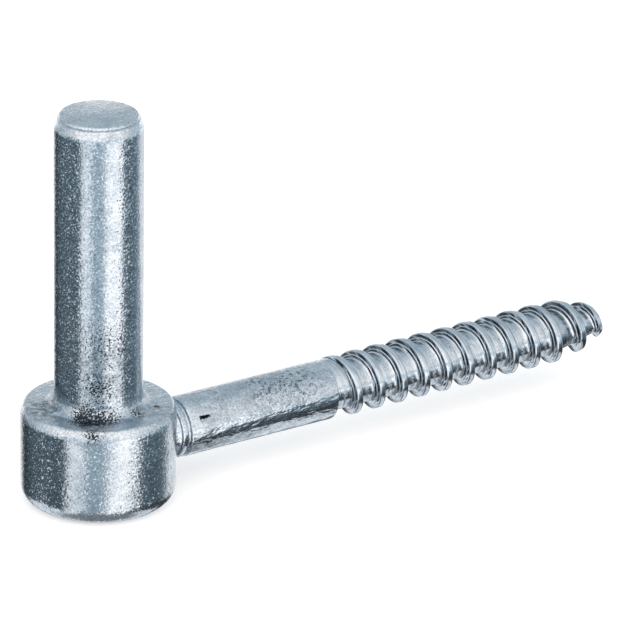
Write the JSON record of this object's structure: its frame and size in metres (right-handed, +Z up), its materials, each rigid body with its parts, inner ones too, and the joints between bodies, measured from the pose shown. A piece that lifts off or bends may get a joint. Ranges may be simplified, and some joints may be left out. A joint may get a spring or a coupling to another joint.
{
  "type": "gate hinge pin",
  "caption": "Screw-in gate hinge pin: an upright round pin on a thick collar, with a plain shank and a wood-screw thread at a right angle to it.",
  "frame": {"origin": "on the pin's axis, in the plane of the collar's top face where the gate's hinge eye sits", "axes": "+Z up the pin's axis, +X along the screw stem from the collar to the tip, +Y completes a right-handed frame"},
  "size_m": [0.1245, 0.028, 0.0735],
  "materials": {
    "zinc_plated_steel": "bright bluish zinc plating over turned and rolled steel, finely grained"
  },
  "bodies": {
    "root": {"gate_hinge_pin": "zinc_plated_steel"}
  },
  "joints": []
}
